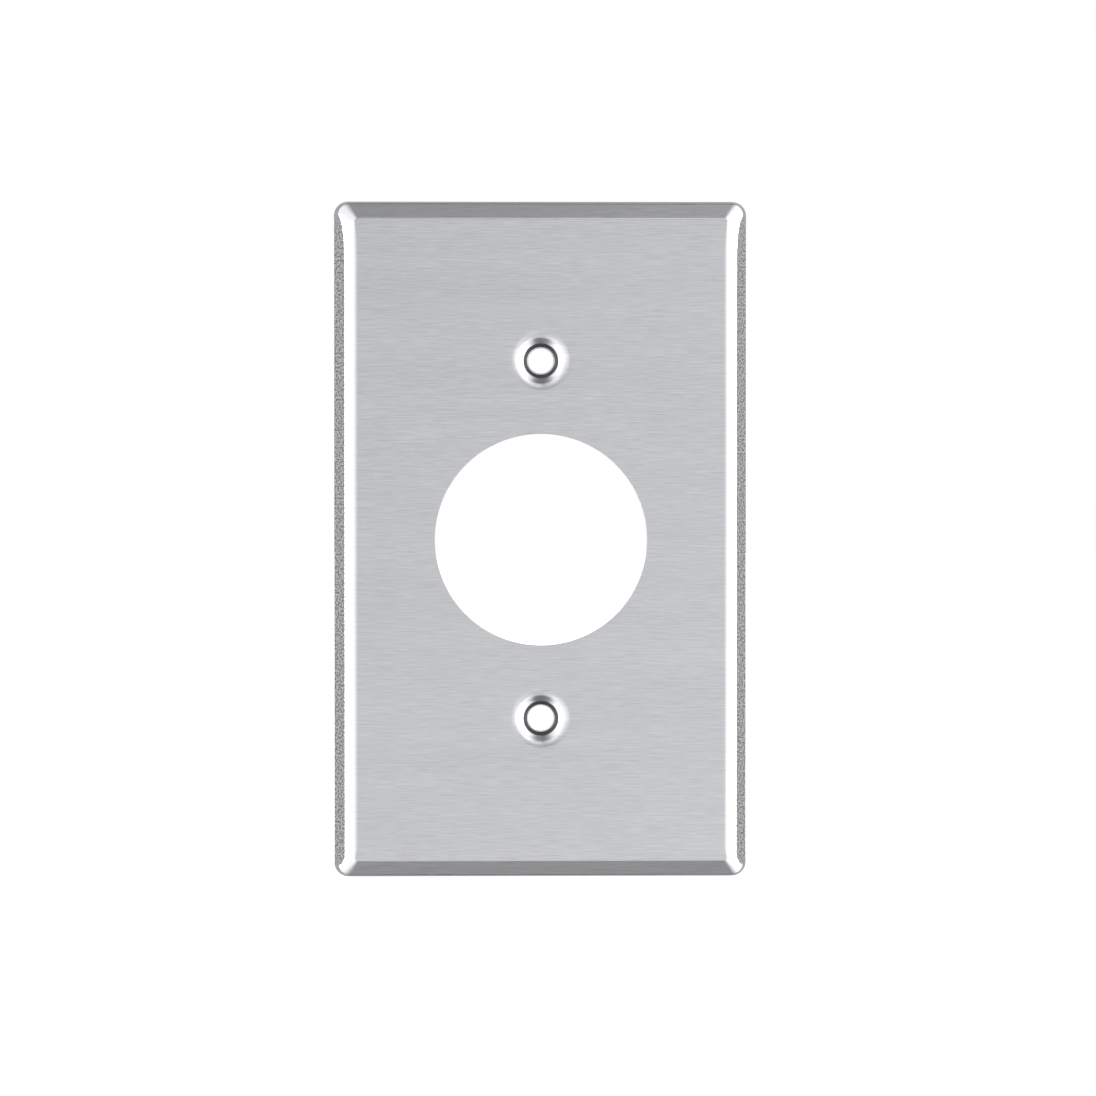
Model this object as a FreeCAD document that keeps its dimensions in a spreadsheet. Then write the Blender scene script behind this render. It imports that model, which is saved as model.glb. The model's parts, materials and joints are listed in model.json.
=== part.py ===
"""Single-gang metal wall plate with one round opening for a receptacle.

The plate is one stamping of stainless sheet. Its flat face turns down through a bevel into a
flared skirt that stands on the wall, two screw sinks are pressed into the face, and the round
opening is punched between them.

Frame: the plate stands upright as on a wall. +Z is up, +X is to the right of someone who looks at
the face, and the face looks towards -Y. The wall is the plane Y = 0, and the origin is the point
where the middle line of the opening meets it. A height is a distance from the wall. Lengths are
in millimetres, angles in degrees.
"""

import FreeCAD, Part
import math
import os

import Sketcher

NODE = "wall_plate"

# alias, value, what it is
DIMENSIONS = [
    ("plate_width", 69.85, "rim, left to right: 2.75 in"),
    ("plate_height", 114.3, "rim, bottom to top: 4.50 in"),
    ("plate_depth", 5.6, "wall to face"),
    ("gauge", 0.8, "thickness of the sheet"),
    ("rim_corner", 2.4, "corner radius of the rim"),
    ("skirt_drop", 3.95, "height of the crease between skirt and bevel"),
    ("side_flare", 1.77, "how far a long skirt leans out over that height"),
    ("end_flare", 0.45, "the same for a short skirt"),
    ("crease_corner", 2.0, "corner radius of that crease"),
    ("side_bevel", 1.6, "width of a long bevel, seen from the front"),
    ("end_bevel", 2.6, "the same for a short bevel"),
    ("face_corner", 1.0, "corner radius of the crease around the face"),
    ("inner_rim_corner", 1.6, "corner radius inside the rim"),
    ("inner_crease_drop", 3.51, "height of the crease inside the sheet"),
    ("inner_crease_corner", 1.3, "corner radius of the crease inside the sheet"),
    ("inner_face_corner", 0.65, "corner radius around the back of the face"),
    ("face_bend", 1.0, "outer bend radius between face and bevel"),
    ("skirt_bend", 0.8, "outer bend radius between bevel and skirt"),
    ("edge_break", 0.15, "rounding of the opening's front edge"),
    ("opening", 35.7124, "diameter of the round opening: 1.406 in"),
    ("screw_spacing", 60.325, "between the screw holes: 2.375 in"),
    ("screw_hole", 4.25, "diameter of a screw hole"),
    ("sink_mouth", 8.66, "diameter at which the cone of a screw sink would meet the face"),
    ("sink_angle", 104.0, "included angle of that cone"),
    ("sink_bend", 2.3, "outer bend radius from the face into the sink"),
    ("throat_top", 5.9, "diameter where the cone turns into the throat"),
    ("throat_foot", 5.0, "diameter at the foot of the throat"),
    ("throat_drop", 0.75, "fall of the throat"),
    ("throat_bend", 0.2, "bend radius where the cone turns into the throat"),
    ("ledge_drop", 0.25, "fall of the ledge from throat to hole"),
    ("hole_wall", 0.4, "length of the pierced wall of a screw hole"),
    ("boss_top", 7.1, "diameter behind the sink where its cone turns steep"),
    ("boss_foot", 6.4, "diameter behind the sink at its foot"),
]
CUT_MARGIN = 1.0  # how far a cutting profile reaches past the metal
TOUCH = 1e-4  # two lengths closer than this count as equal when edges are picked
VOLUME_MATCH = 0.01  # a cut may miss the volume worked out for it by this share

# The first guess of a rounded rectangle, before its constraints size it.
GUESS_HALF_X, GUESS_HALF_Z, GUESS_RADIUS = 30.0, 50.0, 2.0
QUARTER_TURN = math.pi / 2

# A sketch names its own origin point -1 and that point's vertex 1.
ORIGIN, VERTEX, START, END, CENTRE = -1, 1, 1, 2, 3

document = FreeCAD.newDocument("wall_plate")
sheet = document.addObject("Spreadsheet::Sheet", "sizes")


# ---------------------------------------------------------------- the sheet


def write_sheet():
    """One row for each driving dimension: its value under its alias, and what it is."""
    for row, (alias, value, meaning) in enumerate(DIMENSIONS, start=1):
        sheet.set(f"A{row}", str(value))
        sheet.setAlias(f"A{row}", alias)
        sheet.set(f"B{row}", meaning)
    document.recompute()


def size(alias):
    """The value of one cell, as a plain number."""
    return float(sheet.get(alias))


# ---------------------------------------------------------------- sketches


def new_sketch(body, name, role):
    """An empty sketch, flat on one of the body's own origin planes."""
    plane = next(p for p in body.Origin.OriginFeatures if p.Role == role)
    sketch = body.newObject("Sketcher::SketchObject", name)
    sketch.AttachmentSupport = (plane, [""])
    sketch.MapMode = "FlatFace"
    return sketch


def constrain(sketch, *terms):
    """Adds one constraint."""
    return sketch.addConstraint(Sketcher.Constraint(*terms))


def drive(sketch, terms, first_guess, formula):
    """Adds one dimension, and binds it to a formula on the sheet."""
    index = constrain(sketch, *terms, first_guess)
    sketch.setExpression(f"Constraints[{index}]", formula)


def rounded_rectangle(body, name, height, width, length, corner):
    """A rounded rectangle parallel to the wall and centred over the origin.

    height, width (along X), length (along Z) and corner are formulas on the sheet.
    """
    sketch = new_sketch(body, name, "XZ_Plane")
    sketch.setExpression(".AttachmentOffset.Base.z", height)
    x, z, r = GUESS_HALF_X, GUESS_HALF_Z, GUESS_RADIUS
    bottom, right, top, left = (
        sketch.addGeometry(Part.LineSegment(FreeCAD.Vector(*a, 0), FreeCAD.Vector(*b, 0)), False)
        for a, b in (
            ((r - x, -z), (x - r, -z)),
            ((x, r - z), (x, z - r)),
            ((x - r, z), (r - x, z)),
            ((-x, z - r), (-x, r - z)),
        )
    )
    corners = []
    for turn, (sign_x, sign_z) in enumerate(((1, -1), (1, 1), (-1, 1), (-1, -1))):
        centre = FreeCAD.Vector(sign_x * (x - r), sign_z * (z - r), 0)
        circle = Part.Circle(centre, FreeCAD.Vector(0, 0, 1), r)
        start = (turn - 1) * QUARTER_TURN
        arc = Part.ArcOfCircle(circle, start, start + QUARTER_TURN)
        corners.append(sketch.addGeometry(arc, False))
    sides = (bottom, right, top, left)
    for arc, before, after in zip(corners, sides, sides[1:] + sides[:1]):
        constrain(sketch, "Tangent", before, END, arc, START)
        constrain(sketch, "Tangent", arc, END, after, START)
    for arc in corners[1:]:
        constrain(sketch, "Equal", corners[0], arc)
    constrain(sketch, "Horizontal", bottom)
    constrain(sketch, "Horizontal", top)
    constrain(sketch, "Vertical", right)
    constrain(sketch, "Vertical", left)
    constrain(sketch, "Symmetric", bottom, START, top, START, ORIGIN, VERTEX)
    drive(sketch, ("DistanceX", left, START, right, END), 2 * x, width)
    drive(sketch, ("DistanceY", bottom, START, top, START), 2 * z, length)
    drive(sketch, ("Radius", corners[0]), r, corner)
    return sketch


def turned_profile(body, name, points):
    """A closed outline to turn about a screw's axis, which is the sketch's horizontal axis.

    points are (height, radius) formulas on the sheet, and the first and last lie on the axis.
    """
    sketch = new_sketch(body, name, "YZ_Plane")
    sketch.setExpression(".AttachmentOffset.Base.y", "sizes.screw_spacing / 2")
    guesses = [FreeCAD.Vector(-value(sketch, h), value(sketch, r), 0) for h, r in points]
    lines = []
    for a, b in zip(guesses, guesses[1:] + guesses[:1]):
        lines.append(sketch.addGeometry(Part.LineSegment(a, b), False))
    for before, after in zip(lines, lines[1:] + lines[:1]):
        constrain(sketch, "Coincident", before, END, after, START)
    for line, guess, (height, radius) in zip(lines, guesses, points):
        drive(sketch, ("DistanceX", line, START, ORIGIN, VERTEX), -guess.x, height)
        if line in (lines[0], lines[-1]):
            constrain(sketch, "PointOnObject", line, START, ORIGIN)
        else:
            drive(sketch, ("DistanceY", ORIGIN, VERTEX, line, START), guess.y, radius)
    return sketch


def value(obj, formula):
    """What a formula on the sheet comes to."""
    return float(obj.evalExpression(formula))


# ---------------------------------------------------------------- formulas


def skin_gap(run, drop):
    """How far apart, measured level, the two skins of a wall are that leans by run over drop."""
    return f"sizes.gauge * sqrt(1 + ({run} / ({drop}))^2)"


def inner_crease(overall, flare):
    """The width or length inside the skirt, at the height of the inner crease."""
    lean = f"{flare} * sizes.inner_crease_drop / sizes.skirt_drop"
    return f"{overall} - 2 * ({lean} + {skin_gap(flare, 'sizes.skirt_drop')})"


def inner_face(overall, flare, bevel):
    """The width or length of the back of the face."""
    drop = "(sizes.plate_depth - sizes.skirt_drop)"
    widening = f"sizes.gauge * {bevel} / {drop}"
    return f"{overall} - 2 * ({flare} + {bevel} - {widening} + {skin_gap(bevel, drop)})"


CONE_SLOPE = "tan(sizes.sink_angle / 2 * 1 deg)"
CONE_FOOT = f"(sizes.plate_depth - (sizes.sink_mouth - sizes.throat_top) / 2 / {CONE_SLOPE})"
THROAT_FOOT = f"({CONE_FOOT} - sizes.throat_drop)"
HOLE_TOP = f"({THROAT_FOOT} - sizes.ledge_drop)"
HOLE_FOOT = f"({HOLE_TOP} - sizes.hole_wall)"
BACK_GAP = "sizes.gauge / cos(sizes.sink_angle / 2 * 1 deg)"
FACE_BACK = "(sizes.plate_depth - sizes.gauge)"
BACK_CREASE = f"(sizes.sink_mouth / 2 + {BACK_GAP} - sizes.gauge * {CONE_SLOPE})"
BOSS_TOP = f"(sizes.plate_depth - (sizes.sink_mouth / 2 + {BACK_GAP} - sizes.boss_top / 2) / {CONE_SLOPE})"


# ---------------------------------------------------------------- features


def edges_where(shape, test):
    """The names of the edges of shape that pass the test."""
    return [f"Edge{i}" for i, edge in enumerate(shape.Edges, start=1) if test(edge)]


def level(height):
    """A test for edges that lie flat at this height over the wall."""

    def lies_there(edge):
        box = edge.BoundBox
        return max(abs(box.YMin + height), abs(box.YMax + height)) < TOUCH

    return lies_there


def ring(height, diameter):
    """A test for circles of this diameter, flat at this height over the wall."""

    def is_ring(edge):
        round_edge = isinstance(edge.Curve, Part.Circle)
        return level(height)(edge) and round_edge and abs(2 * edge.Curve.Radius - diameter) < TOUCH

    return is_ring


def fillet(body, name, test, radius, expected):
    """Rounds the expected number of edges of the body's tip with a radius from the sheet."""
    base = body.Tip
    names = edges_where(base.Shape, test)
    if len(names) != expected:
        raise RuntimeError(f"{name}: {len(names)} edges were found, not {expected}")
    feature = body.newObject("PartDesign::Fillet", name)
    feature.Base = (base, names)
    feature.setExpression("Radius", radius)
    document.recompute()


def loft(body, kind, name, sections):
    """A ruled loft through sketches, added or cut."""
    feature = body.newObject(f"PartDesign::{kind}", name)
    feature.Profile = sections[0]
    feature.Sections = sections[1:]
    feature.Ruled = True
    document.recompute()


def outer_form(body):
    """The outside of the plate, as a solid block: flared skirt, bevel and face."""
    sections = [
        rounded_rectangle(
            body, "rim", "0", "sizes.plate_width", "sizes.plate_height", "sizes.rim_corner"
        ),
        rounded_rectangle(
            body,
            "crease",
            "sizes.skirt_drop",
            "sizes.plate_width - 2 * sizes.side_flare",
            "sizes.plate_height - 2 * sizes.end_flare",
            "sizes.crease_corner",
        ),
        rounded_rectangle(
            body,
            "face",
            "sizes.plate_depth",
            "sizes.plate_width - 2 * (sizes.side_flare + sizes.side_bevel)",
            "sizes.plate_height - 2 * (sizes.end_flare + sizes.end_bevel)",
            "sizes.face_corner",
        ),
    ]
    loft(body, "AdditiveLoft", "outer_form", sections)
    fillet(body, "face_bend", level(size("plate_depth")), "sizes.face_bend", 8)
    fillet(body, "skirt_bend", level(size("skirt_drop")), "sizes.skirt_bend", 8)


def hollow(body):
    """The hollow behind the face, which leaves one gauge of metal everywhere."""
    sections = [
        rounded_rectangle(
            body,
            "inner_rim",
            "0",
            f"sizes.plate_width - 2 * {skin_gap('sizes.side_flare', 'sizes.skirt_drop')}",
            f"sizes.plate_height - 2 * {skin_gap('sizes.end_flare', 'sizes.skirt_drop')}",
            "sizes.inner_rim_corner",
        ),
        rounded_rectangle(
            body,
            "inner_crease",
            "sizes.inner_crease_drop",
            inner_crease("sizes.plate_width", "sizes.side_flare"),
            inner_crease("sizes.plate_height", "sizes.end_flare"),
            "sizes.inner_crease_corner",
        ),
        rounded_rectangle(
            body,
            "face_back",
            FACE_BACK,
            inner_face("sizes.plate_width", "sizes.side_flare", "sizes.side_bevel"),
            inner_face("sizes.plate_height", "sizes.end_flare", "sizes.end_bevel"),
            "sizes.inner_face_corner",
        ),
    ]
    loft(body, "SubtractiveLoft", "hollow", sections)
    back = size("plate_depth") - size("gauge")
    fillet(body, "inner_bend", level(back), "sizes.face_bend - sizes.gauge", 8)


def turn(body, kind, name, profile):
    """Turns a profile all the way round its screw's axis, added or cut."""
    feature = body.newObject(f"PartDesign::{kind}", name)
    feature.Profile = profile
    feature.ReferenceAxis = (profile, ["H_Axis"])
    feature.Angle = 360.0
    document.recompute()
    return feature


def screw_sinks(body):
    """The two pressed screw sinks: a cone, a steep throat, a narrow ledge and the pierced hole."""
    boss_outline = [
        ("sizes.plate_depth - sizes.gauge / 2", "0"),
        ("sizes.plate_depth - sizes.gauge / 2", BACK_CREASE),
        (FACE_BACK, BACK_CREASE),
        (BOSS_TOP, "sizes.boss_top / 2"),
        (HOLE_FOOT, "sizes.boss_foot / 2"),
        (HOLE_FOOT, "0"),
    ]
    above = f"sizes.plate_depth + {CUT_MARGIN}"
    bore_outline = [
        (above, "0"),
        (above, f"sizes.sink_mouth / 2 + {CUT_MARGIN} * {CONE_SLOPE}"),
        (CONE_FOOT, "sizes.throat_top / 2"),
        (THROAT_FOOT, "sizes.throat_foot / 2"),
        (HOLE_TOP, "sizes.screw_hole / 2"),
        (f"{HOLE_FOOT} - {CUT_MARGIN}", "sizes.screw_hole / 2"),
        (f"{HOLE_FOOT} - {CUT_MARGIN}", "0"),
    ]
    boss = turn(body, "Revolution", "sink_boss", turned_profile(body, "boss_outline", boss_outline))
    bore = turn(body, "Groove", "sink_bore", turned_profile(body, "bore_outline", bore_outline))
    lower = body.newObject("PartDesign::Mirrored", "lower_sink")
    lower.Originals = [boss, bore]
    lower.MirrorPlane = (next(p for p in body.Origin.OriginFeatures if p.Role == "XY_Plane"), [""])
    body.Tip = lower
    document.recompute()
    depth, back = size("plate_depth"), size("plate_depth") - size("gauge")
    mouth = ring(depth, size("sink_mouth"))
    fillet(body, "sink_bend", mouth, "sizes.sink_bend", 2)
    crease = ring(back, 2 * value(body, BACK_CREASE))
    fillet(body, "sink_back_bend", crease, "sizes.sink_bend - sizes.gauge", 2)
    throat = ring(value(body, CONE_FOOT), size("throat_top"))
    fillet(body, "throat_bend", throat, "sizes.throat_bend", 2)


def receptacle_opening(body):
    """The round opening, punched right through, with its front edge just broken."""
    sketch = new_sketch(body, "opening_circle", "XZ_Plane")
    circle = Part.Circle(FreeCAD.Vector(0, 0, 0), FreeCAD.Vector(0, 0, 1), GUESS_RADIUS)
    outline = sketch.addGeometry(circle, False)
    constrain(sketch, "Coincident", outline, CENTRE, ORIGIN, VERTEX)
    drive(sketch, ("Diameter", outline), 2 * GUESS_RADIUS, "sizes.opening")
    before = body.Tip.Shape.Volume
    pocket = body.newObject("PartDesign::Pocket", "receptacle_opening")
    pocket.Profile = sketch
    pocket.Type = "ThroughAll"
    pocket.Midplane = True
    document.recompute()
    punched = math.pi * size("opening") ** 2 / 4 * size("gauge")
    removed = before - pocket.Shape.Volume
    if abs(removed - punched) > VOLUME_MATCH * punched:
        raise RuntimeError(f"the opening took {removed:.1f} mm3 out, not {punched:.1f}")
    edge = ring(size("plate_depth"), size("opening"))
    fillet(body, "opening_break", edge, "sizes.edge_break", 1)


# ---------------------------------------------------------------- the plate


def wall_plate():
    """The whole plate, as one body."""
    body = document.addObject("PartDesign::Body", NODE)
    body.Label = NODE
    outer_form(body)
    hollow(body)
    screw_sinks(body)
    receptacle_opening(body)
    body.Placement = FreeCAD.Placement()
    document.recompute()
    return body


def check():
    """Stops the script if anything in the document has failed."""
    for obj in document.Objects:
        if {"Invalid", "Error"} & set(obj.State):
            raise RuntimeError(f"{obj.Label} failed: {obj.State}")


def export(body):
    """Writes the body's solid as a STEP file named after it."""
    shape = body.Shape
    if shape.isNull() or not shape.isValid() or len(shape.Solids) != 1:
        raise RuntimeError(f"{body.Label} is not one valid solid")
    os.makedirs("parts", exist_ok=True)
    shape.exportStep(f"parts/{body.Label}.step")
    print(f"{body.Label}: {shape.Volume:.1f} mm3, {shape.BoundBox}")


write_sheet()
plate = wall_plate()
check()
export(plate)
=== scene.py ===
"""Looks of a brushed steel wall plate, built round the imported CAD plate.

The plate is made again as one closed, finely divided skin: the pressed face with its bevel and
flared skirt, the two screw sinks and the punched opening, with every cut edge a little rounded. The
sheet was brushed from side to side before it was pressed, so the skin carries the flat sheet's own
coordinates as its UV map, and the brush lines run over the bends with it.

Frame: the CAD frame, in metres. The face looks towards -Y, the wall is Y = 0, and the origin is
where the middle line of the opening meets the wall. A height is a distance from the wall.
"""

import json
import math
from collections import namedtuple

import bmesh
import bpy
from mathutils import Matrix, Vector
from mathutils.geometry import delaunay_2d_cdt


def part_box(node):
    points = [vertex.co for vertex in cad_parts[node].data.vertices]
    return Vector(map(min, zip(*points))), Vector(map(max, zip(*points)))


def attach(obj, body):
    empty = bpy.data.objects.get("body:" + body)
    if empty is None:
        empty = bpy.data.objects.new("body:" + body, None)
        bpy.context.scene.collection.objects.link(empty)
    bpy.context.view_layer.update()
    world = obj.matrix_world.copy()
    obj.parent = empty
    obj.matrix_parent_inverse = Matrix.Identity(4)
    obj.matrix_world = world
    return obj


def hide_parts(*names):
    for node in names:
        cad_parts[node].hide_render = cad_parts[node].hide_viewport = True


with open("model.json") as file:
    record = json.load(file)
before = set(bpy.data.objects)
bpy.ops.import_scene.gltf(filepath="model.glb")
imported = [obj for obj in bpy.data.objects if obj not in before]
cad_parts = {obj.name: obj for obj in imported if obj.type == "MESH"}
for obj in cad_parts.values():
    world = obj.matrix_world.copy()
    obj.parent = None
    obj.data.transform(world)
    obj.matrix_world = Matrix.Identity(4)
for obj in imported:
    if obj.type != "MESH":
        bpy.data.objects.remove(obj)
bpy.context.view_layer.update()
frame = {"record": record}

MM = 0.001
NODE = "wall_plate"
BODY = "root"

# ---------------------------------------------------------------- the plate's sizes

LOW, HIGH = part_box(NODE)
HALF_X, HALF_Z, DEPTH = HIGH.x, HIGH.z, -LOW.y
MOUNTS = {mount["name"]: mount for mount in frame["record"]["mounts"]}
OPENING_R = MOUNTS["receptacle_opening"]["dims"]["r_mm"] * MM
SCREW_DIMS = MOUNTS["screw_holes"]["dims"]
SCREW_Z = SCREW_DIMS["spacing_y_mm"] / 2 * MM
SCREW_R = SCREW_DIMS["hole_r_mm"] * MM

GAUGE = 0.8 * MM
FACE_BACK = DEPTH - GAUGE

# A rounded rectangle: its height over the wall, its half width and half length, and its corner.
Outline = namedtuple("Outline", "height half_x half_z corner")
CREASE_DROP, SIDE_FLARE, END_FLARE = 3.95 * MM, 1.77 * MM, 0.45 * MM
SIDE_BEVEL, END_BEVEL = 1.7 * MM, 2.6 * MM
RIM = Outline(0.0, HALF_X, HALF_Z, 2.4 * MM)
CREASE = Outline(CREASE_DROP, HALF_X - SIDE_FLARE, HALF_Z - END_FLARE, 2.0 * MM)
FACE = Outline(DEPTH, CREASE.half_x - SIDE_BEVEL, CREASE.half_z - END_BEVEL, 0.6 * MM)
INNER_DROP = 3.51 * MM
# A long side flares by CORNER_FLARE only as far as START off the plate's end. From there it grows to
# SIDE_FLARE over a few lengths of FADE: slowly at the top, quickly at the bottom.
CORNER_FLARE = 0.75 * MM
TOP_START, TOP_FADE = 2.4 * MM, 2.2 * MM
BOTTOM_START, BOTTOM_FADE = 2.2 * MM, 0.5 * MM


def skin_gap(run, drop):
    """How far apart, measured level, the two skins of a wall are that leans by run over drop."""
    return GAUGE * math.hypot(1, run / drop)


def inner_outline(height, corner):
    """The inner skin at a height, one gauge inside the outer one."""
    if height <= INNER_DROP:
        side = SIDE_FLARE * height / CREASE_DROP + skin_gap(SIDE_FLARE, CREASE_DROP)
        end = END_FLARE * height / CREASE_DROP + skin_gap(END_FLARE, CREASE_DROP)
    else:
        drop = DEPTH - CREASE_DROP
        up = (height - CREASE_DROP) / drop
        side = SIDE_FLARE + SIDE_BEVEL * up + skin_gap(SIDE_BEVEL, drop)
        end = END_FLARE + END_BEVEL * up + skin_gap(END_BEVEL, drop)
    return Outline(height, HALF_X - side, HALF_Z - end, corner)


INNER_RIM = inner_outline(0.0, 1.6 * MM)
INNER_CREASE = inner_outline(INNER_DROP, 1.3 * MM)
INNER_FACE = inner_outline(FACE_BACK, 0.4 * MM)

SIDE_BEND, END_BEND = 2.4 * MM, 0.6 * MM  # outer bend radii between face and bevel
SIDE_CREASE_BEND, END_CREASE_BEND = 0.8 * MM, 0.3 * MM  # and between bevel and skirt

# The finishes of the metal, and the painted shade of the sinks' throats, which are also the slots of
# the skin's materials.
BRUSHED, CUT, THROAT_SHADE, MILL = range(4)

# The section of the rim, from the face out to the wall and back in. Each knot: its outline, bend
# radius, steps in the bend, and the finish of the metal beyond it. The first two radii are those
# along the sides.
RIM_SECTION = (
    (FACE, SIDE_BEND, 10, BRUSHED),
    (CREASE, SIDE_CREASE_BEND, 8, BRUSHED),
    (RIM, 0.07 * MM, 3, CUT),
    (INNER_RIM, 0.12 * MM, 3, MILL),
    (INNER_CREASE, 0.1 * MM, 2, MILL),
    (INNER_FACE, 0.25 * MM, 4, MILL),
)
FACE_KNOT, CREASE_KNOT, INNER_CREASE_KNOT = 0, 1, 4  # places in RIM_SECTION
CORNER_STEPS = 20  # sections round a corner
SIDE_STEP = 0.9 * MM  # between sections along a straight edge
FLAT_REACH = 1.2 * MM  # how far inside its crease the flat face is met

# The screw sink: a cone of 104 degrees, a steep throat, a ledge and the pierced hole.
CONE_SLOPE = math.tan(math.radians(52))
MOUTH_R, THROAT_TOP_R, THROAT_FOOT_R = 4.33 * MM, 2.95 * MM, 2.36 * MM
BOSS_TOP_R, BOSS_FOOT_R = 3.55 * MM, 3.2 * MM
THROAT_DROP, LEDGE_DROP, HOLE_WALL = 0.9 * MM, 0.1 * MM, 0.4 * MM
CONE_FOOT = DEPTH - (MOUTH_R - THROAT_TOP_R) / CONE_SLOPE
THROAT_FOOT = CONE_FOOT - THROAT_DROP
HOLE_TOP = THROAT_FOOT - LEDGE_DROP
HOLE_FOOT = HOLE_TOP - HOLE_WALL
BACK_MOUTH_R = MOUTH_R + GAUGE * math.hypot(1, CONE_SLOPE)
BACK_CREASE_R = BACK_MOUTH_R - GAUGE * CONE_SLOPE
BOSS_TOP = DEPTH - (BACK_MOUTH_R - BOSS_TOP_R) / CONE_SLOPE
HOLE_REACH = 1.6 * MM  # how far outside a hole's first bend the flat face is met
# Each knot of a hole's section: radius, height, bend radius, steps and the finish beyond it.
SINK_SECTION = (
    (MOUTH_R, DEPTH, 2.3 * MM, 16, BRUSHED),
    # From the throat's top down the metal takes a dark colour: painted shade for the shade and dark
    # reflections inside the sink.
    (THROAT_TOP_R, CONE_FOOT, 0.12 * MM, 5, THROAT_SHADE),
    (THROAT_FOOT_R, THROAT_FOOT, 0.1 * MM, 4, CUT),
    (SCREW_R, HOLE_TOP, 0.06 * MM, 3, CUT),
    (SCREW_R, HOLE_FOOT, 0.04 * MM, 2, MILL),
    (BOSS_FOOT_R, HOLE_FOOT, 0.3 * MM, 4, MILL),
    (BOSS_TOP_R, BOSS_TOP, 0.4 * MM, 4, MILL),
    (BACK_CREASE_R, FACE_BACK, 1.5 * MM, 8, MILL),
)
OPENING_SECTION = (
    (OPENING_R, DEPTH, 0.08 * MM, 4, CUT),
    (OPENING_R, FACE_BACK, 0.05 * MM, 2, MILL),
)
SINK_STEPS, OPENING_STEPS = 96, 240
FIELD_STEP = 2.0 * MM  # between the vertices of the flat face
FIELD_CLEAR = 0.6  # how near one comes to an edge of the flat face, as a share of that step
WHOLE_HULL, MERGE_WITHIN = 0, 1e-9  # the triangulation's output kind and tolerance

# ---------------------------------------------------------------- the skin


BEND_SHARE = 0.48  # the most that a bend takes of the shorter stretch beside it


def rounded(before, corner, after, radius, steps):
    """The arc of this radius that rounds a corner, as steps + 1 points. It shrinks where it must."""
    u, v = (before - corner).normalized(), (after - corner).normalized()
    half = u.angle(v) / 2
    reach = radius / math.tan(half)
    limit = BEND_SHARE * min((before - corner).length, (after - corner).length)
    if reach > limit:
        reach, radius = limit, limit * math.tan(half)
    centre = corner + (u + v).normalized() * (radius / math.sin(half))
    start, end = ((corner + way * reach - centre).normalized() for way in (u, v))
    return [centre + start.slerp(end, i / steps) * radius for i in range(steps + 1)]


class Skin:
    """Vertices, faces, finishes and flat-sheet coordinates of a mesh in the making."""

    def __init__(self):
        self.points, self.sheet, self.faces, self.finishes = [], [], [], []

    def add(self, point, sheet):
        """A vertex, with its place on the flat sheet. Returns its number."""
        self.points.append(point)
        self.sheet.append(sheet)
        return len(self.points) - 1

    def face(self, corners, finish):
        self.faces.append(corners)
        self.finishes.append(finish)

    def sweep(self, sections):
        """Closed rings of metal through sections that each hold (first, knots, last, unrolls).

        knots are (point, bend radius, steps, finish), and the front skin unrolls from first in the
        direction unrolls. Returns the first and the last ring.
        """
        lines = [self.lay(*section) for section in sections]
        finishes = lines[0][1]
        rings = list(zip(*(line for line, _ in lines)))
        for ring, following, finish in zip(rings, rings[1:], finishes):
            for a, b, c, d in zip(ring, ring[1:] + ring[:1], following[1:] + following[:1], following):
                self.face((a, b, c, d), finish)
        return rings[0], rings[-1]

    def lay(self, first, knots, last, unrolls):
        """The vertices of one rounded section, and the finish of each stretch between them."""
        places = [first, *(point for point, _, _, _ in knots), last]
        points, finishes = [first], [BRUSHED]
        for i, (_, radius, steps, finish) in enumerate(knots):
            points += rounded(*places[i : i + 3], radius, steps)
            finishes += finishes[-1:] * steps + [finish]
        points.append(last)
        line, across, start = [], 0.0, Vector((first.x, first.z))
        for i, point in enumerate(points):
            level = Vector((point.x, point.z))
            aside = level - start - unrolls * unrolls.dot(level - start)
            if i:
                step = point - points[i - 1]
                aside_step = Vector((step.x, step.z)).cross(unrolls)
                across += math.sqrt(max(0.0, step.length_squared - aside_step**2))
            on_front = i == 0 or finishes[i - 1] != MILL
            line.append(self.add(point, start + unrolls * across + aside if on_front else level))
        return line, finishes


def perimeter():
    """Each section of the rim: how far along the plate's two ways, from -1 to 1, and facing where."""
    corners = ((1, 1), (-1, 1), (-1, -1), (1, -1))
    for turn, (x, z) in enumerate(corners):
        start = turn * math.pi / 2
        for i in range(CORNER_STEPS + 1):
            yield x, z, start + math.pi / 2 * i / CORNER_STEPS
        next_x, next_z = corners[(turn + 1) % len(corners)]
        steps = round(2 * (HALF_Z if x == next_x else HALF_X) / SIDE_STEP)
        for i in range(1, steps):
            yield x + (next_x - x) * i / steps, z + (next_z - z) * i / steps, start + math.pi / 2


def on_outline(outline, place):
    """The point of a rounded rectangle at one place of the perimeter."""
    x, z, facing = place
    x = x * (outline.half_x - outline.corner) + outline.corner * math.cos(facing)
    z = z * (outline.half_z - outline.corner) + outline.corner * math.sin(facing)
    return Vector((x, -outline.height, z))


def inset(outline, reach):
    return outline._replace(half_x=outline.half_x - reach, half_z=outline.half_z - reach)


def sideness(z):
    """How fully a side has its own shape at z: 0 at the corners, nearly 1 further along."""
    start, fade = (TOP_START, TOP_FADE) if z > 0 else (BOTTOM_START, BOTTOM_FADE)
    return 1 - math.exp(-max(0.0, HALF_Z - abs(z) - start) / fade)


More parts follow.
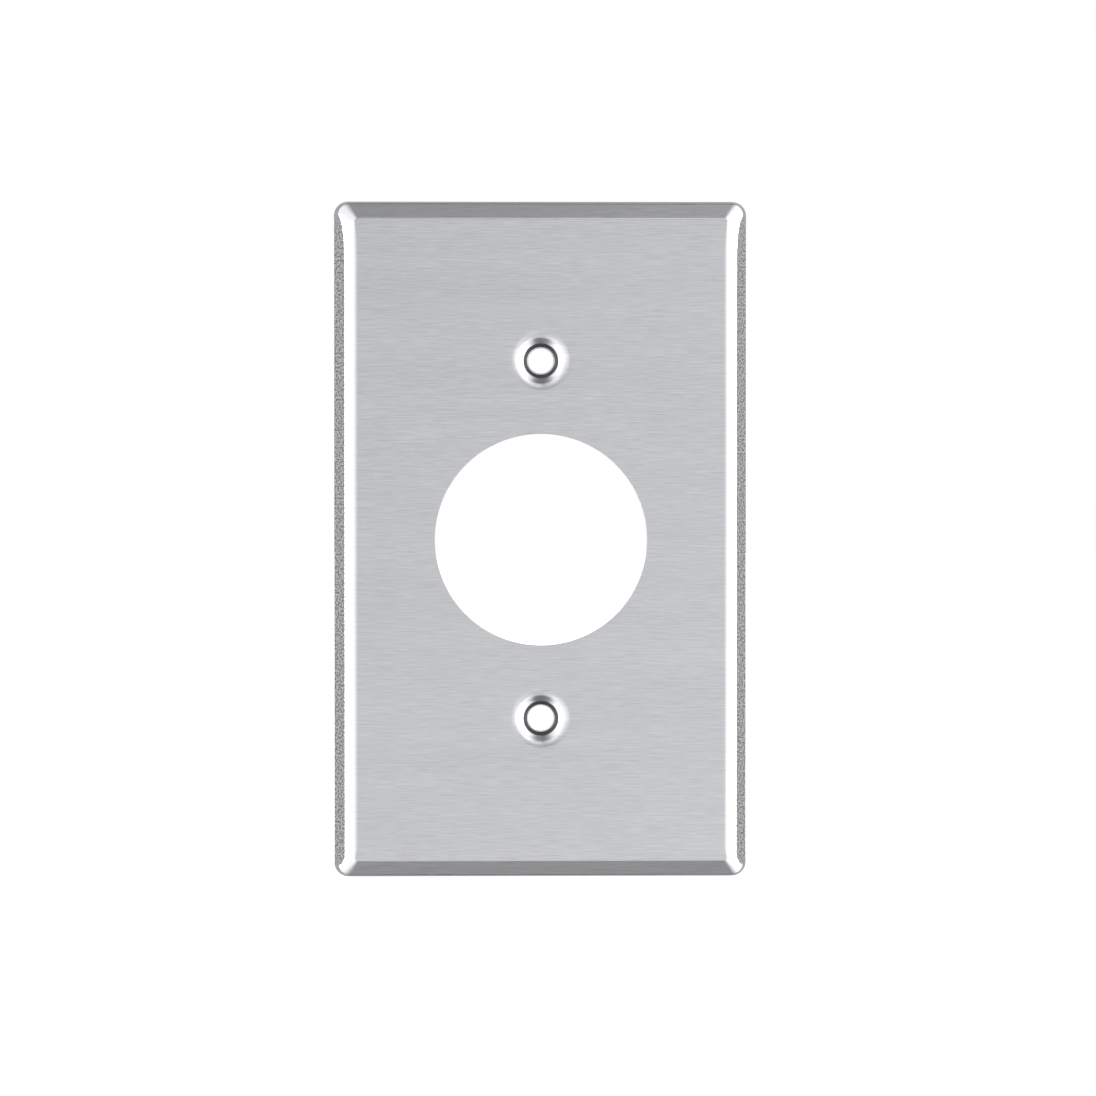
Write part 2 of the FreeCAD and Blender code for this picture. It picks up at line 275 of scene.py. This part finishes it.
def rim_sections():
    for place in perimeter():
        knots = [(on_outline(outline, place), *bend) for outline, *bend in RIM_SECTION]
        side = sideness(knots[CREASE_KNOT][0].z) * math.cos(place[2]) ** 2
        for i, at_end, at_side in (
            (FACE_KNOT, END_BEND, SIDE_BEND),
            (CREASE_KNOT, END_CREASE_BEND, SIDE_CREASE_BEND),
        ):
            knots[i] = (knots[i][0], at_end + (at_side - at_end) * side, *knots[i][2:])
        for point, *_ in (knots[CREASE_KNOT], knots[INNER_CREASE_KNOT]):
            way = point.x / CREASE.half_x
            point.x += (SIDE_FLARE - CORNER_FLARE) * way * (1 - sideness(point.z))
        first, last = (on_outline(inset(outline, FLAT_REACH), place) for outline in (FACE, INNER_FACE))
        yield first, knots, last, Vector((math.cos(place[2]), math.sin(place[2])))


def hole_sections(centre_z, section, count):
    """The sections of a hole and what is pressed round it, about an axis along Y."""

    def point(radius, height, facing):
        return Vector((radius * math.cos(facing), -height, centre_z + radius * math.sin(facing)))

    mouth, back = section[0], section[-1]
    for i in range(count):
        facing = 2 * math.pi * i / count
        knots = [(point(radius, height, facing), *bend) for radius, height, *bend in section]
        first = point(mouth[0] + HOLE_REACH, DEPTH, facing)
        last = point(back[0] + HOLE_REACH, FACE_BACK, facing)
        yield first, knots, last, Vector((-math.cos(facing), -math.sin(facing)))


def add_field(skin, height, edge, holes, finish):
    """The flat metal between the ring of the rim and the rings of the holes.

    edge is (ring, outline); each of holes is (ring, centre along Z, radius).
    """
    ring, outline = edge
    numbers = list(ring) + [number for hole, _, _ in holes for number in hole]
    flat = [Vector((skin.points[n].x, skin.points[n].z)) for n in numbers]
    edges, start = [], 0
    for count in (len(ring), *(len(hole) for hole, _, _ in holes)):
        edges += [(start + i, start + (i + 1) % count) for i in range(count)]
        start += count

    def clear_of_holes(x, z, gap):
        return all(math.hypot(x, z - centre) > radius + gap for _, centre, radius in holes)

    gap = FIELD_CLEAR * FIELD_STEP
    columns, rows = (int((half - gap) / FIELD_STEP) for half in (outline.half_x, outline.half_z))
    for column in range(-columns, columns + 1):
        for row in range(-rows, rows + 1):
            x, z = column * FIELD_STEP, row * FIELD_STEP
            if clear_of_holes(x, z, gap):
                numbers.append(skin.add(Vector((x, -height, z)), Vector((x, z))))
                flat.append(Vector((x, z)))
    _, _, triangles, origins, _, _ = delaunay_2d_cdt(flat, edges, [], WHOLE_HULL, MERGE_WITHIN)
    for triangle in triangles:
        corners = [origins[i][0] for i in triangle]
        middle = sum((flat[i] for i in corners), Vector((0, 0))) / 3
        if clear_of_holes(middle.x, middle.y, 0.0):
            skin.face([numbers[i] for i in corners], finish)


def plate_skin():
    """The whole plate as one closed skin."""
    skin = Skin()
    rim = skin.sweep(rim_sections())
    holes = []
    for centre, section, count in (
        (0.0, OPENING_SECTION, OPENING_STEPS),
        (SCREW_Z, SINK_SECTION, SINK_STEPS),
        (-SCREW_Z, SINK_SECTION, SINK_STEPS),
    ):
        rings = skin.sweep(hole_sections(centre, section, count))
        shrink = math.cos(math.pi / count)  # of a ring's flats against its corners
        radii = [(knot[0] + HOLE_REACH) * shrink for knot in (section[0], section[-1])]
        holes.append([(ring, centre, radius) for ring, radius in zip(rings, radii)])
    flats = ((FACE, DEPTH, BRUSHED), (INNER_FACE, FACE_BACK, MILL))
    for side, (outline, height, finish) in enumerate(flats):
        edge = (rim[side], inset(outline, FLAT_REACH))
        add_field(skin, height, edge, [hole[side] for hole in holes], finish)
    return skin


FACE_SAG, FACE_RIPPLE = 0.03 * MM, 0.006 * MM
RIPPLE_ACROSS, RIPPLE_ALONG = (4.1, 0.7), (5.3, -0.4)  # radians in half the plate's size, and phase


def dish(x, z):
    """How far the pressed face lies below its plane: a soft sag in the middle, faintly rippled."""
    across, along = x / HALF_X, z / HALF_Z

    def wave(place, pace, phase):
        return math.sin(pace * place + phase)

    sag = FACE_SAG * (1 - across**2) * (1 - along**2)
    ripple = FACE_RIPPLE * (1 + wave(across, *RIPPLE_ACROSS) * wave(along, *RIPPLE_ALONG))
    return sag + ripple * (1 - across**4) * (1 - along**4)


SHEET_SCALE = 10.0  # one unit of the UV map is a tenth of a metre
SHADING_WEIGHT = 60  # over the neutral 50, so larger faces count for more in the shading


def build_plate():
    """The skin as a mesh object, shaded smooth, with its UV map, its three finishes and the painted
    shade of the sinks' throats.
    """
    skin = plate_skin()
    for point in skin.points:
        point.y += dish(point.x, point.z) * -point.y / DEPTH
    mesh = bpy.data.meshes.new("pressed_plate")
    mesh.from_pydata(skin.points, [], skin.faces)
    mesh.polygons.foreach_set("material_index", skin.finishes)
    mesh.shade_smooth()
    sheet = mesh.uv_layers.new(name="sheet")
    for loop, entry in zip(mesh.loops, sheet.uv):
        entry.vector = skin.sheet[loop.vertex_index] * SHEET_SCALE
    piece = bpy.data.objects.new("pressed_plate", mesh)
    bpy.context.scene.collection.objects.link(piece)
    face_outwards(mesh)
    weighted = piece.modifiers.new("even_shading", "WEIGHTED_NORMAL")
    weighted.weight = SHADING_WEIGHT
    return piece


def face_outwards(mesh):
    """Turns every face of the closed mesh to look outwards."""
    shell = bmesh.new()
    shell.from_mesh(mesh)
    bmesh.ops.recalc_face_normals(shell, faces=shell.faces)
    shell.to_mesh(mesh)
    shell.free()


# ---------------------------------------------------------------- shader helpers

MIX_FACTOR, MIX_A, MIX_B, MIX_RESULT = 0, 6, 7, 2  # a Mix node's sockets when it mixes colours


class Shader:
    """Short ways to build a node tree."""

    def __init__(self, owner):
        owner.use_nodes = True
        self.tree = owner.node_tree
        self.tree.nodes.clear()

    def node(self, kind, inputs=None, **settings):
        """A node with these settings. inputs holds a value or another node's output for each input."""
        made = self.tree.nodes.new("ShaderNode" + kind)
        for name, value in settings.items():
            setattr(made, name, value)
        for name, value in (inputs or {}).items():
            if isinstance(value, bpy.types.NodeSocket):
                self.tree.links.new(value, made.inputs[name])
            else:
                made.inputs[name].default_value = value
        return made

    def math(self, operation, *values):
        return self.node("Math", dict(enumerate(values)), operation=operation).outputs[0]

    def total(self, *values):
        """The sum of some values."""
        result = values[0]
        for value in values[1:]:
            result = self.math("ADD", result, value)
        return result

    def ramp(self, value, low, high, to_low=0.0, to_high=1.0, smooth=False):
        """A value carried from one range to another and kept within it."""
        kind = "SMOOTHSTEP" if smooth else "LINEAR"
        inputs = {
            "Value": value,
            "From Min": low,
            "From Max": high,
            "To Min": to_low,
            "To Max": to_high,
        }
        return self.node("MapRange", inputs, interpolation_type=kind).outputs["Result"]

    def blend(self, factor, a, b):
        """A value between a and b."""
        return self.node("Mix", {"Factor": factor, "A": a, "B": b}).outputs["Result"]

    def noise(self, place, lengths, detail=2.0, roughness=0.5):
        """Noise from 0 to 1 about a half. lengths are the grain's, in metres, along place's ways."""
        scale = [1 / length for length in lengths]
        mapping = self.node("Mapping", {"Vector": place, "Scale": scale})
        inputs = {"Vector": mapping.outputs[0], "Scale": 1.0, "Detail": detail, "Roughness": roughness}
        return self.node("TexNoise", inputs).outputs["Fac"]


def metal(name, shader_of, colours, roughness, relief, **shine):
    """A metal material.

    shader_of gives how light, how rough and how high each place is, from 0 to 1, and the way that its
    reflections are drawn out, or None where they aren't.
    """
    material = bpy.data.materials.new(name)
    shader = Shader(material)
    light, rough, height, tangent = shader_of(shader)
    tint = shader.node(
        "Mix", {MIX_FACTOR: light, MIX_A: colours[0], MIX_B: colours[1]}, data_type="RGBA"
    )
    bump = shader.node("Bump", {"Height": height, "Distance": relief, "Strength": 1.0})
    inputs = {
        "Base Color": tint.outputs[MIX_RESULT],
        "Metallic": 1.0,
        "Roughness": shader.ramp(rough, 0.0, 1.0, *roughness),
        "Normal": bump.outputs[0],
        **shine,
    }
    if tangent:
        inputs["Tangent"] = tangent
    surface = shader.node("BsdfPrincipled", inputs)
    shader.node("OutputMaterial", {"Surface": surface.outputs[0]})
    return material


# ---------------------------------------------------------------- the three finishes and the throats' painted shade


# Where the skirts' speckle comes in, from none to full, on the flat sheet: out past the crease, and
# in from the plate's ends.
SPECKLE_ACROSS = (HALF_X - SIDE_FLARE + 0.2 * MM, HALF_X - SIDE_FLARE + 0.8 * MM)
SPECKLE_ALONG = (HALF_Z - 3.6 * MM, HALF_Z - 2.4 * MM)


def brushed_grain(shader):
    """Brush lines along the flat sheet's X, which the bends carry with them.

    On the long skirts a strong speckle takes their place: real grain, with the contrast
    of the skirts' reflections painted into its colour.
    """
    sheet = shader.node("UVMap", uv_map="sheet").outputs[0]
    metres = shader.node("VectorMath", {0: sheet, "Scale": 1 / SHEET_SCALE}, operation="SCALE")
    place = metres.outputs[0]
    fine = shader.noise(place, (3.5 * MM, 0.14 * MM, 1.0), detail=3.0, roughness=0.6)
    coarse = shader.noise(place, (8 * MM, 0.32 * MM, 1.0))
    bands = shader.noise(place, (70 * MM, 5 * MM, 1.0))
    patches = shader.noise(place, (14 * MM, 11 * MM, 1.0), detail=1.0)
    even = shader.total(
        shader.math("MULTIPLY", fine, 0.6),
        shader.math("MULTIPLY", coarse, 0.25),
        shader.math("MULTIPLY", bands, 0.15),
    )
    ways = shader.node("SeparateXYZ", {0: place}).outputs
    across, along, _ = (shader.math("ABSOLUTE", way) for way in ways)
    # Painted reflection over real grain: on the skirts the grain turns to hard dashes of light and
    # dark.
    speckle_grain_and_reflection_mask = shader.math(
        "MULTIPLY",
        shader.ramp(across, *SPECKLE_ACROSS),
        shader.ramp(along, *SPECKLE_ALONG, 1.0, 0.0),
    )
    dashes = shader.noise(place, (0.6 * MM, 0.34 * MM, 1.0), detail=1.0)
    strong = shader.ramp(dashes, 0.4, 0.6)
    light = shader.blend(speckle_grain_and_reflection_mask, shader.ramp(even, 0.0, 1.0, 0.12, 0.88), strong)
    rough = shader.blend(0.5, coarse, patches)
    height = shader.blend(0.4, fine, coarse)
    tangent = shader.node("Tangent", direction_type="UV_MAP", uv_map="sheet").outputs[0]
    return light, rough, height, tangent


def cut_grain(shader):
    """A sheared edge: lines across the thickness."""
    place = shader.node("TexCoord").outputs["Object"]
    tears = shader.noise(place, (0.12 * MM, 1.5 * MM, 0.12 * MM), detail=3.0)
    patches = shader.noise(place, (2 * MM, 2 * MM, 2 * MM))
    return shader.blend(0.4, tears, patches), tears, tears, None


def mill_grain(shader):
    """The unbrushed back: a dull, even skin with faint rolling lines and stains."""
    place = shader.node("TexCoord").outputs["Object"]
    skin = shader.noise(place, (0.5 * MM, 0.5 * MM, 0.5 * MM), detail=4.0, roughness=0.6)
    rolling = shader.noise(place, (30 * MM, 1.0 * MM, 0.7 * MM))
    stains = shader.noise(place, (18 * MM, 18 * MM, 18 * MM), detail=3.0)
    light = shader.total(
        shader.math("MULTIPLY", skin, 0.3),
        shader.math("MULTIPLY", rolling, 0.3),
        shader.math("MULTIPLY", stains, 0.4),
    )
    return light, shader.blend(0.5, stains, rolling), skin, None


def finish_materials():
    """The finishes, and the painted shade of the sinks' throats, in the order of the skin's slots."""
    return (
        metal(
            "brushed_steel",
            brushed_grain,
            colours=((0.30, 0.305, 0.325, 1), (0.90, 0.905, 0.925, 1)),
            roughness=(0.20, 0.28),
            relief=0.005 * MM,
            Anisotropic=0.8,
            **{"Anisotropic Rotation": 0.25},
        ),
        metal(
            "cut_steel",
            cut_grain,
            colours=((0.42, 0.42, 0.43, 1), (0.66, 0.66, 0.66, 1)),
            roughness=(0.35, 0.6),
            relief=0.01 * MM,
        ),
        # The sinks' throats: a dark colour painted as the shade and dark reflections inside the sinks,
        # with the grain of a sheared edge.
        metal(
            "painted_throat_shade",
            cut_grain,
            colours=((0.10, 0.10, 0.105, 1), (0.28, 0.28, 0.285, 1)),
            roughness=(0.35, 0.6),
            relief=0.01 * MM,
        ),
        metal(
            "mill_steel",
            mill_grain,
            colours=((0.52, 0.525, 0.53, 1), (0.72, 0.72, 0.725, 1)),
            roughness=(0.4, 0.58),
            relief=0.004 * MM,
        ),
    )


# ---------------------------------------------------------------- the studio

WHITE = (1, 1, 1, 1)

# What the metal mirrors. Directions are unit vectors: y is away from the camera, z is up, and a
# bearing is in degrees from straight in front of the plate.
# A glow at a side: the bearings where it starts, is full, starts to fall and has gone.
RIGHT_GLOW, LEFT_GLOW, CORE_GLOW = (18, 58, 99, 108), (2, 66, 99, 108), (62, 84, 99, 108)
# Ramps: from here, to there, its value here, its value there. Without values it goes from 0 to 1.
SIDES_BY_RISE = (0.77, 0.95, 1.35, 0.0)  # over z's size
FRONT_BY_BEARING = (math.radians(-4), math.radians(16), 0.8, 1.15)
FRONT_BY_TURN = (math.radians(18), math.radians(50), 1.0, 0.6)  # over the bearing to either side
FRONT_BY_HEIGHT = (-0.15, 0.3, 1.42, 0.42)  # over z
FRONT_LOW_END = (-0.45, -0.1, 0.5, 1.0)  # over z
BEHIND = (0.7, 0.95, 0.55, 0.5)  # over y
FRONT_TO_BEHIND = (-0.3, 0.5)  # over y
OVERHEAD_NEAR, OVERHEAD_FAR = (-0.45, -0.33, 0.84, 0.0), (0.3, 0.7, 0.0, 0.6)  # over y
OVERHEAD_BY_HEIGHT = (-0.9, 0.9, 1.2, 1.0)  # over z
LEVEL_TO_OVERHEAD = (0.18, 0.8)  # over z's size


def make_world():
    """A grey studio for the metal to mirror: bright at both sides. The camera sees it white."""
    world = bpy.data.worlds.new("studio")
    bpy.context.scene.world = world
    shader = Shader(world)
    place = shader.node("TexCoord").outputs["Generated"]
    x, y, z = shader.node("SeparateXYZ", {0: place}).outputs
    # The bearing, positive to the right.
    turned = shader.math("ARCTAN2", x, shader.math("MULTIPLY", y, -1.0))

    def from_to(angle, start, full, end, dark, smooth):
        """A glow from one bearing to another, in degrees."""
        start, full, end, dark = (math.radians(bearing) for bearing in (start, full, end, dark))
        rise = shader.ramp(angle, start, full, smooth=smooth)
        fall = shader.ramp(angle, end, dark, 1.0, 0.0, smooth=True)
        return shader.math("MULTIPLY", rise, fall)

    aside = shader.math("ABSOLUTE", turned)
    rise = shader.math("ABSOLUTE", z)
    right = from_to(turned, *RIGHT_GLOW, True)
    left = from_to(shader.math("MULTIPLY", turned, -1.0), *LEFT_GLOW, False)
    core = from_to(aside, *CORE_GLOW, True)
    sides = shader.math(
        "MULTIPLY", shader.total(left, right, core), shader.ramp(rise, *SIDES_BY_RISE, smooth=True)
    )
    front = shader.ramp(turned, *FRONT_BY_BEARING)
    for factor in (
        shader.math("MULTIPLY", shader.ramp(z, *FRONT_BY_HEIGHT), shader.ramp(z, *FRONT_LOW_END)),
        shader.ramp(aside, *FRONT_BY_TURN),
    ):
        front = shader.math("MULTIPLY", front, factor)
    behind = shader.ramp(y, *BEHIND)
    level = shader.blend(shader.ramp(y, *FRONT_TO_BEHIND), front, behind)
    overhead = shader.total(shader.ramp(y, *OVERHEAD_NEAR), shader.ramp(y, *OVERHEAD_FAR))
    upright = shader.math("MULTIPLY", overhead, shader.ramp(z, *OVERHEAD_BY_HEIGHT))
    steepness = shader.ramp(rise, *LEVEL_TO_OVERHEAD, smooth=True)
    glow = shader.total(sides, shader.blend(steepness, level, upright))
    mirrored = shader.node("Background", {"Color": WHITE, "Strength": glow})
    seen = shader.node("Background", {"Color": WHITE, "Strength": 1.0})
    to_camera = shader.node("LightPath").outputs["Is Camera Ray"]
    sky = shader.node("MixShader", {0: to_camera, 1: mirrored.outputs[0], 2: seen.outputs[0]})
    shader.node("OutputWorld", {"Surface": sky.outputs[0]})


def soft_box(name, place, aim, size, radiance):
    """A rectangular soft light at a place, turned to aim, as bright all over as radiance says."""
    lamp = bpy.data.lights.new(name, "AREA")
    lamp.shape = "RECTANGLE"
    lamp.size, lamp.size_y = size
    lamp.energy = radiance * math.pi * size[0] * size[1]
    light = bpy.data.objects.new(name, lamp)
    light.location = place
    light.rotation_euler = (Vector(aim) - Vector(place)).to_track_quat("-Z", "Z").to_euler()
    light.visible_camera = False
    bpy.context.scene.collection.objects.link(light)


FLOOR_REACH = 3.0  # metres each way


def make_floor():
    """A pale floor under the plate's lower edge, which the metal doesn't mirror."""
    ways = ((-1, -1), (1, -1), (1, 1), (-1, 1))
    corners = [(x * FLOOR_REACH, y * FLOOR_REACH, LOW.z) for x, y in ways]
    mesh = bpy.data.meshes.new("floor")
    mesh.from_pydata(corners, [], [(0, 1, 2, 3)])
    floor = bpy.data.objects.new("floor", mesh)
    bpy.context.scene.collection.objects.link(floor)
    paint = bpy.data.materials.new("pale_floor")
    shader = Shader(paint)
    surface = shader.node(
        "BsdfPrincipled",
        {
            "Base Color": (0.8, 0.8, 0.8, 1),
            "Roughness": 0.9,
            "Emission Color": WHITE,
            "Emission Strength": 0.75,
        },
    )
    shader.node("OutputMaterial", {"Surface": surface.outputs[0]})
    mesh.materials.append(paint)
    floor.visible_glossy = False


VIEW_YAW, VIEW_PITCH = math.radians(1.65), math.radians(1.0)
VIEW_DISTANCE = 1.0  # metres
FRAME_WIDTH = 185.8 * MM  # how much of the plate's plane the picture takes in
FRAME_OFFSET = Vector((1.32, 0, -1.49)) * MM  # from the plate's middle to the picture's middle


def make_camera():
    """A long lens a little to the left of the plate and a little above it."""
    data = bpy.data.cameras.new("camera")
    data.lens = data.sensor_width * VIEW_DISTANCE / FRAME_WIDTH
    camera = bpy.data.objects.new("camera", data)
    bpy.context.scene.collection.objects.link(camera)
    level = math.cos(VIEW_PITCH)
    back = Vector((-math.sin(VIEW_YAW) * level, -math.cos(VIEW_YAW) * level, math.sin(VIEW_PITCH)))
    camera.location = FRAME_OFFSET + back * VIEW_DISTANCE
    camera.rotation_euler = (-back).to_track_quat("-Z", "Y").to_euler()
    bpy.context.scene.camera = camera


def make_lights():
    """One large soft box in front, above and to the right."""
    soft_box("front_light", place=(0.3, -0.6, 0.6), aim=(0, 0, 0), size=(0.6, 0.6), radiance=0.4)


# ---------------------------------------------------------------- the scene

make_camera()
make_world()
make_lights()
make_floor()
bpy.context.scene.view_settings.view_transform = "Standard"

plate = build_plate()
for material in finish_materials():
    plate.data.materials.append(material)
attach(plate, BODY)
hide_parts(NODE)
